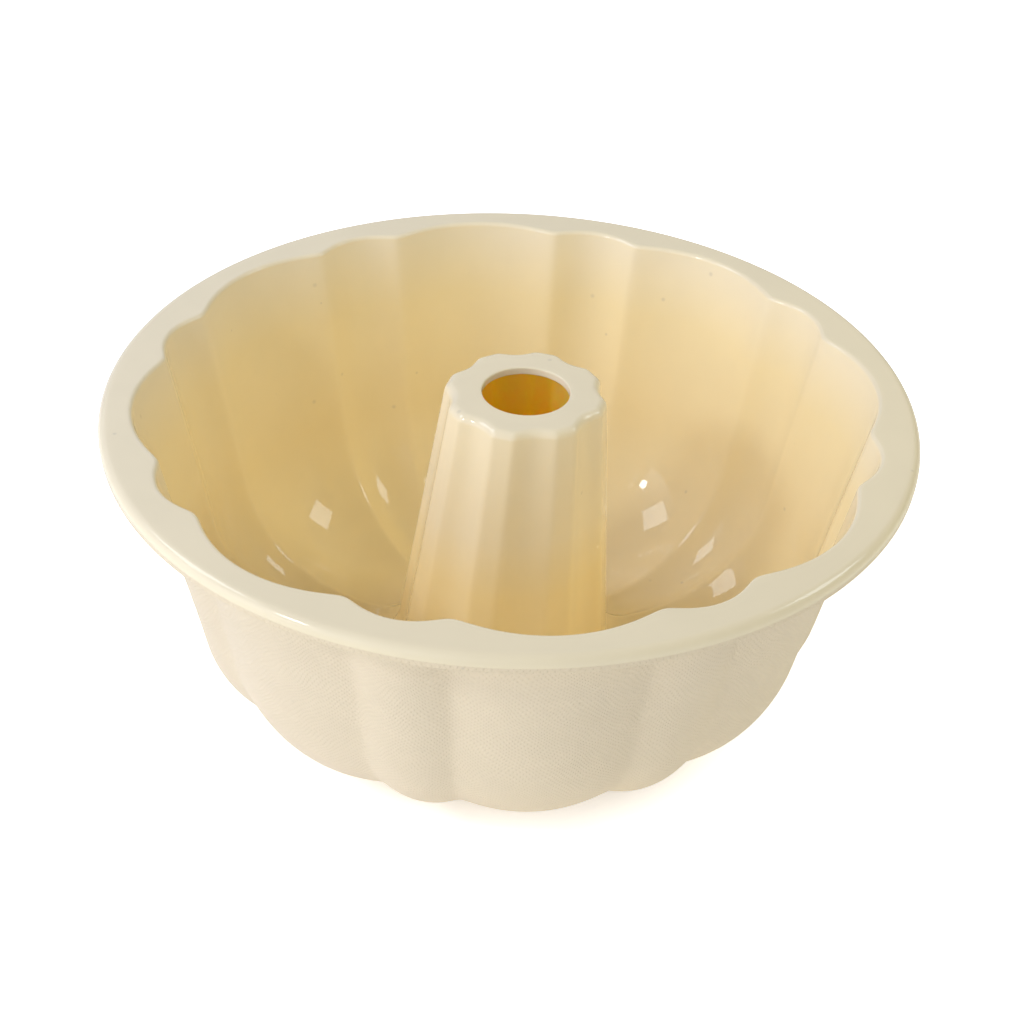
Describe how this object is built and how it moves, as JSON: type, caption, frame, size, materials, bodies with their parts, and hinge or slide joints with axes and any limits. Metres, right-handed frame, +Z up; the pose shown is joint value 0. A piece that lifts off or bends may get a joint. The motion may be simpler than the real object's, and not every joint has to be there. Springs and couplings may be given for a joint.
{
  "type": "silicone ring cake mould",
  "caption": "Flexible ring-shaped cake mould with alternating wide and narrow flutes, a hollow fluted centre tube with a hole in its top, and a flat round rim stiffened by a wire hoop.",
  "frame": {"origin": "middle of the foot, on the surface that the mould stands on", "axes": "+Z up along the tube's axis; the picture looks along +Y from above"},
  "size_m": [0.25, 0.25, 0.1065],
  "materials": {
    "cream_silicone": "cream silicone, polished inside and on top of the rim, finely textured satin outside",
    "hoop_steel": "plain drawn wire"
  },
  "bodies": {
    "root": {"rim_flange": "cream_silicone", "rim_lip": "cream_silicone", "fluted_wall": "cream_silicone", "trough_corner": "cream_silicone", "trough_foot": "cream_silicone", "centre_tube": "cream_silicone", "tube_cap": "cream_silicone", "rim_hoop": "hoop_steel"}
  },
  "joints": []
}
